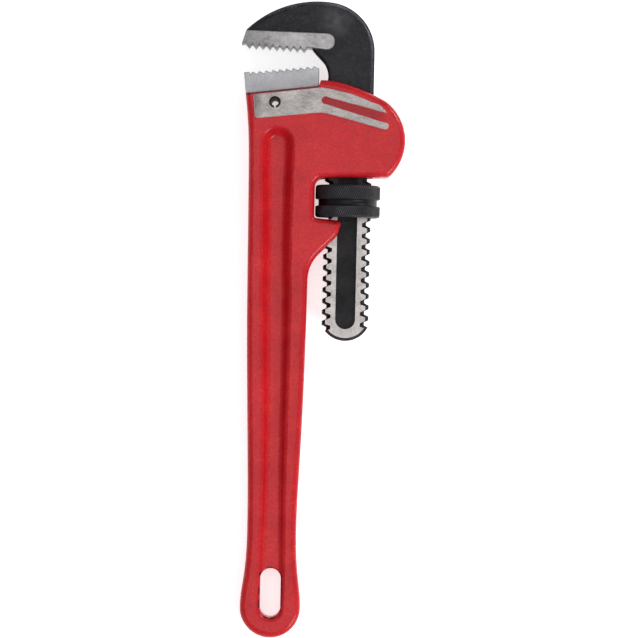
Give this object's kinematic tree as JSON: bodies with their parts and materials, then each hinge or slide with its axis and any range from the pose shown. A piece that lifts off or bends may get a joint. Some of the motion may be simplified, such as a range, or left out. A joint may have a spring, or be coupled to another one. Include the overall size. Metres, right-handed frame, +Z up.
{
  "type": "pipe wrench",
  "caption": "Straight pipe wrench: cast handle with a hanging slot, pinned toothed heel jaw, and a toothed hook jaw that slides through the head on a thread turned by a knurled nut.",
  "frame": {"origin": "middle of the base of the bounding box: the wrench lies on its side and the rim of the adjusting nut touches Z = 0", "axes": "+Z up, through the thickness of the wrench; +Y along the handle, from the hanging slot to the head; the jaws open towards -X"},
  "size_m": [0.085, 0.3274, 0.0333],
  "materials": {
    "handle_paint": "gloss red enamel over a sand-cast ductile iron casting, with a bare ground band across both faces of the head",
    "ground_steel": "hardened alloy steel, surface ground, with milled teeth",
    "pin_steel": "black oxide spring steel, rolled",
    "black_forged_steel": "drop-forged alloy steel with a black oxide finish, ground bare on the tooth strip and on the flats of the thread",
    "nut_steel": "black oxide steel, diamond of slanted knurling in two bands",
    "spring_steel": "blued spring steel",
    "rivet_steel": "plain mild steel"
  },
  "bodies": {
    "handle": {"handle": "handle_paint", "heel_jaw": "ground_steel", "heel_jaw_pin": "pin_steel", "coil_spring": "spring_steel"},
    "rocker": {"flat_spring": "spring_steel", "spring_rivet": "rivet_steel"},
    "nut": {"adjusting_nut": "nut_steel"},
    "hook": {"hook_jaw": "black_forged_steel"}
  },
  "joints": [
    {"name": "jaw_rock", "type": "hinge", "parent": "handle", "child": "rocker", "pos_m": [0.00165, 0.0732, 0.01665], "axis": [0, 0, 1], "range_deg": [0, 3], "stiffness_Nm_per_rad": 3.1, "springref_deg": -7.45, "deforming": ["coil_spring"]},
    {"name": "nut_spin", "type": "hinge", "parent": "rocker", "child": "nut", "pos_m": [0.0137, 0.06125, 0.01665], "axis": [0, -1, 0], "range_deg": [-90.5, 3285]},
    {"name": "jaw_slide", "type": "slide", "parent": "rocker", "child": "hook", "axis": [0, 1, 0], "range_m": [-0.00143, 0.052]}
  ],
  "couplings": [
    {"joint": "nut_spin", "follows": "jaw_slide", "rad_per_m": 1102.3}
  ]
}
